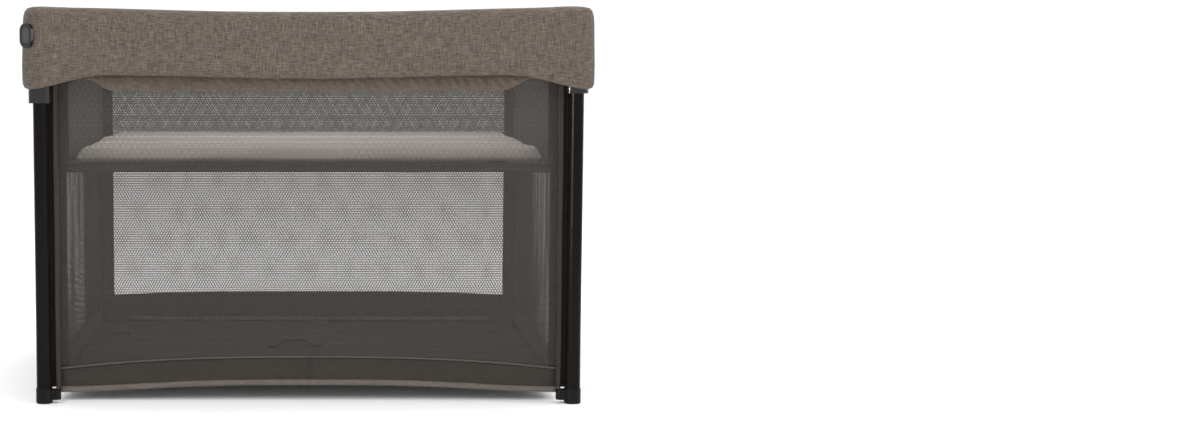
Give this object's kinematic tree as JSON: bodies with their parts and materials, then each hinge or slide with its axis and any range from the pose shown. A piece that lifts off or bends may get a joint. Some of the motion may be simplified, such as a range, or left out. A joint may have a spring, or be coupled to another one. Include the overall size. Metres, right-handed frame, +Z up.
{
  "type": "folding playpen",
  "caption": "Rectangular folding playpen with mesh walls, a padded cover over scissor frames, posts with sliding collars, and an upper bassinet with a mattress.",
  "frame": {"origin": "on the floor, under the centre of the pen", "axes": "+X along the long side, to the right seen from the front; -Y is the front; +Z up"},
  "size_m": [1.054, 0.734, 0.735],
  "materials": {
    "tube": "gloss bronze-black lacquer",
    "bar": "satin bronze-black lacquer",
    "plastic": "fine matt moulding",
    "rivet": "plain rivet steel",
    "cover": "brown-grey melange weave",
    "mesh": "hexagonal net",
    "lining": "plain polyester weave",
    "mattress": "quilted polyester",
    "webbing": "ribbed webbing"
  },
  "bodies": {
    "corner_front_left": {"post_front_left": "tube", "foot_front_left": "plastic", "top_bracket_front_left": "plastic", "cover_front_left": "cover", "front_mesh_wall": "mesh", "left_mesh_wall": "mesh", "bassinet_walls": "lining", "corner_bezel": "plastic"},
    "corner_front_right": {"post_front_right": "tube", "foot_front_right": "plastic", "top_bracket_front_right": "plastic", "cover_front_right": "cover", "right_mesh_wall": "mesh"},
    "corner_back_left": {"post_back_left": "tube", "foot_back_left": "plastic", "top_bracket_back_left": "plastic", "cover_back_left": "cover", "back_mesh_wall": "mesh"},
    "corner_back_right": {"post_back_right": "tube", "foot_back_right": "plastic", "top_bracket_back_right": "plastic", "cover_back_right": "cover"},
    "left_rail_front": {"left_rail_front": "tube", "left_rail_knee_pin": "rivet"},
    "left_rail_back": {"left_rail_back": "tube"},
    "right_rail_front": {"right_rail_front": "tube", "right_rail_knee_pin": "rivet"},
    "right_rail_back": {"right_rail_back": "tube"},
    "floor_front": {"floor_front_half": "lining", "pull_strap": "webbing"},
    "floor_back": {"floor_back_half": "lining"},
    "bassinet_front": {"bassinet_floor_front": "lining", "mattress_front_half": "mattress"},
    "bassinet_back": {"bassinet_floor_back": "lining", "mattress_back_half": "mattress"},
    "corner_button": {"corner_button": "plastic"},
    "front_fixed_bar_left": {"front_fixed_bar_left": "bar", "front_rivets_fixed_left": "rivet"},
    "front_sliding_bar_left": {"front_sliding_bar_left": "bar", "front_rivets_sliding_left": "rivet"},
    "front_fixed_bar_right": {"front_fixed_bar_right": "bar"},
    "front_sliding_bar_right": {"front_sliding_bar_right": "bar", "front_rivets_sliding_right": "rivet"},
    "slider_front_left": {"slider_front_left": "plastic"},
    "slider_front_right": {"slider_front_right": "plastic"},
    "front_top_knuckle": {"front_top_knuckle": "plastic"},
    "back_fixed_bar_left": {"back_fixed_bar_left": "bar", "back_rivets_fixed_left": "rivet"},
    "back_sliding_bar_left": {"back_sliding_bar_left": "bar", "back_rivets_sliding_left": "rivet"},
    "back_fixed_bar_right": {"back_fixed_bar_right": "bar"},
    "back_sliding_bar_right": {"back_sliding_bar_right": "bar", "back_rivets_sliding_right": "rivet"},
    "slider_back_left": {"slider_back_left": "plastic"},
    "slider_back_right": {"slider_back_right": "plastic"},
    "back_top_knuckle": {"back_top_knuckle": "plastic"}
  },
  "joints": [
    {"name": "fold", "type": "hinge", "parent": "corner_front_left", "child": "front_fixed_bar_left", "pos_m": [-0.435, -0.331, 0.683], "axis": [0, 1, 0], "range_deg": [0, 74], "deforming": ["cover_front_left", "cover_front_right", "cover_back_left", "cover_back_right", "front_mesh_wall", "back_mesh_wall", "left_mesh_wall", "right_mesh_wall", "bassinet_walls", "floor_front_half", "floor_back_half", "pull_strap", "bassinet_floor_front", "bassinet_floor_back", "mattress_front_half", "mattress_back_half"]},
    {"name": "front_sliding_bar_left_turn", "type": "hinge", "parent": "front_fixed_bar_left", "child": "front_sliding_bar_left", "pos_m": [-0.2175, -0.331, 0.65243], "axis": [0, 1, 0], "range_deg": [-148, 0]},
    {"name": "slider_front_left_turn", "type": "hinge", "parent": "front_sliding_bar_left", "child": "slider_front_left", "pos_m": [-0.435, -0.331, 0.62187], "axis": [0, 1, 0], "range_deg": [0, 74]},
    {"name": "front_top_knuckle_turn", "type": "hinge", "parent": "front_sliding_bar_left", "child": "front_top_knuckle", "pos_m": [0, -0.331, 0.683], "axis": [0, 1, 0], "range_deg": [0, 74]},
    {"name": "front_fixed_bar_right_turn", "type": "hinge", "parent": "front_fixed_bar_left", "child": "front_fixed_bar_right", "pos_m": [0, -0.331, 0.62187], "axis": [0, 1, 0], "range_deg": [-148, 0]},
    {"name": "corner_front_right_turn", "type": "hinge", "parent": "front_fixed_bar_right", "child": "corner_front_right", "pos_m": [0.435, -0.331, 0.683], "axis": [0, 1, 0], "range_deg": [0, 74]},
    {"name": "front_sliding_bar_right_turn", "type": "hinge", "parent": "front_fixed_bar_right", "child": "front_sliding_bar_right", "pos_m": [0.2175, -0.331, 0.65243], "axis": [0, 1, 0], "range_deg": [0, 148]},
    {"name": "slider_front_right_turn", "type": "hinge", "parent": "front_sliding_bar_right", "child": "slider_front_right", "pos_m": [0.435, -0.331, 0.62187], "axis": [0, 1, 0], "range_deg": [-74, 0]},
    {"name": "left_rail_front_turn", "type": "hinge", "parent": "corner_front_left", "child": "left_rail_front", "pos_m": [-0.491, -0.286, 0.69], "axis": [1, 0, 0], "range_deg": [-81.4, 0]},
    {"name": "left_rail_knee", "type": "hinge", "parent": "left_rail_front", "child": "left_rail_back", "pos_m": [-0.491, 0, 0.69], "axis": [1, 0, 0], "range_deg": [0, 162.8]},
    {"name": "corner_back_left_turn", "type": "hinge", "parent": "left_rail_back", "child": "corner_back_left", "pos_m": [-0.491, 0.286, 0.69], "axis": [1, 0, 0], "range_deg": [-81.4, 0]},
    {"name": "right_rail_front_turn", "type": "hinge", "parent": "corner_front_right", "child": "right_rail_front", "pos_m": [0.491, -0.286, 0.69], "axis": [1, 0, 0], "range_deg": [-81.4, 0]},
    {"name": "right_rail_knee", "type": "hinge", "parent": "right_rail_front", "child": "right_rail_back", "pos_m": [0.491, 0, 0.69], "axis": [1, 0, 0], "range_deg": [0, 162.8]},
    {"name": "floor_front_turn", "type": "hinge", "parent": "corner_front_left", "child": "floor_front", "pos_m": [0, -0.3055, 0.0455], "axis": [1, 0, 0], "range_deg": [0, 78.22]},
    {"name": "floor_knee", "type": "hinge", "parent": "floor_front", "child": "floor_back", "pos_m": [0, 0, 0.0455], "axis": [1, 0, 0], "range_deg": [-156.44, 0]},
    {"name": "bassinet_front_turn", "type": "hinge", "parent": "corner_front_left", "child": "bassinet_front", "pos_m": [0, -0.297, 0.4417], "axis": [1, 0, 0], "range_deg": [0, 79.55]},
    {"name": "bassinet_knee", "type": "hinge", "parent": "bassinet_front", "child": "bassinet_back", "pos_m": [0, 0, 0.4417], "axis": [1, 0, 0], "range_deg": [-159.1, 0]},
    {"name": "back_fixed_bar_left_turn", "type": "hinge", "parent": "corner_back_left", "child": "back_fixed_bar_left", "pos_m": [-0.435, 0.331, 0.683], "axis": [0, 1, 0], "range_deg": [0, 74]},
    {"name": "back_sliding_bar_left_turn", "type": "hinge", "parent": "back_fixed_bar_left", "child": "back_sliding_bar_left", "pos_m": [-0.2175, 0.331, 0.65243], "axis": [0, 1, 0], "range_deg": [-148, 0]},
    {"name": "slider_back_left_turn", "type": "hinge", "parent": "back_sliding_bar_left", "child": "slider_back_left", "pos_m": [-0.435, 0.331, 0.62187], "axis": [0, 1, 0], "range_deg": [0, 74]},
    {"name": "back_top_knuckle_turn", "type": "hinge", "parent": "back_sliding_bar_left", "child": "back_top_knuckle", "pos_m": [0, 0.331, 0.683], "axis": [0, 1, 0], "range_deg": [0, 74]},
    {"name": "back_fixed_bar_right_turn", "type": "hinge", "parent": "back_fixed_bar_left", "child": "back_fixed_bar_right", "pos_m": [0, 0.331, 0.62187], "axis": [0, 1, 0], "range_deg": [-148, 0]},
    {"name": "corner_back_right_turn", "type": "hinge", "parent": "back_fixed_bar_right", "child": "corner_back_right", "pos_m": [0.435, 0.331, 0.683], "axis": [0, 1, 0], "range_deg": [0, 74]},
    {"name": "back_sliding_bar_right_turn", "type": "hinge", "parent": "back_fixed_bar_right", "child": "back_sliding_bar_right", "pos_m": [0.2175, 0.331, 0.65243], "axis": [0, 1, 0], "range_deg": [0, 148]},
    {"name": "slider_back_right_turn", "type": "hinge", "parent": "back_sliding_bar_right", "child": "slider_back_right", "pos_m": [0.435, 0.331, 0.62187], "axis": [0, 1, 0], "range_deg": [-74, 0]},
    {"name": "corner_button_press", "type": "slide", "parent": "corner_front_left", "child": "corner_button", "axis": [0.7071, 0.7071, 0], "range_m": [0, 0.003], "stiffness_N_per_m": 400, "springref_m": -0.001}
  ],
  "couplings": [
    {"joint": "front_sliding_bar_left_turn", "follows": "fold", "ratio": -2},
    {"joint": "slider_front_left_turn", "follows": "fold", "ratio": 1},
    {"joint": "front_top_knuckle_turn", "follows": "fold", "ratio": 1},
    {"joint": "front_fixed_bar_right_turn", "follows": "fold", "ratio": -2},
    {"joint": "corner_front_right_turn", "follows": "fold", "ratio": 1},
    {"joint": "front_sliding_bar_right_turn", "follows": "fold", "ratio": 2},
    {"joint": "slider_front_right_turn", "follows": "fold", "ratio": -1},
    {"joint": "left_rail_front_turn", "follows": "fold", "ratio": -1.1},
    {"joint": "left_rail_knee", "follows": "fold", "ratio": 2.2},
    {"joint": "corner_back_left_turn", "follows": "fold", "ratio": -1.1},
    {"joint": "right_rail_front_turn", "follows": "fold", "ratio": -1.1},
    {"joint": "right_rail_knee", "follows": "fold", "ratio": 2.2},
    {"joint": "floor_front_turn", "follows": "fold", "ratio": 1.057},
    {"joint": "floor_knee", "follows": "fold", "ratio": -2.114},
    {"joint": "bassinet_front_turn", "follows": "fold", "ratio": 1.075},
    {"joint": "bassinet_knee", "follows": "fold", "ratio": -2.15},
    {"joint": "back_fixed_bar_left_turn", "follows": "fold", "ratio": 1},
    {"joint": "back_sliding_bar_left_turn", "follows": "fold", "ratio": -2},
    {"joint": "slider_back_left_turn", "follows": "fold", "ratio": 1},
    {"joint": "back_top_knuckle_turn", "follows": "fold", "ratio": 1},
    {"joint": "back_fixed_bar_right_turn", "follows": "fold", "ratio": -2},
    {"joint": "corner_back_right_turn", "follows": "fold", "ratio": 1},
    {"joint": "back_sliding_bar_right_turn", "follows": "fold", "ratio": 2},
    {"joint": "slider_back_right_turn", "follows": "fold", "ratio": -1}
  ]
}
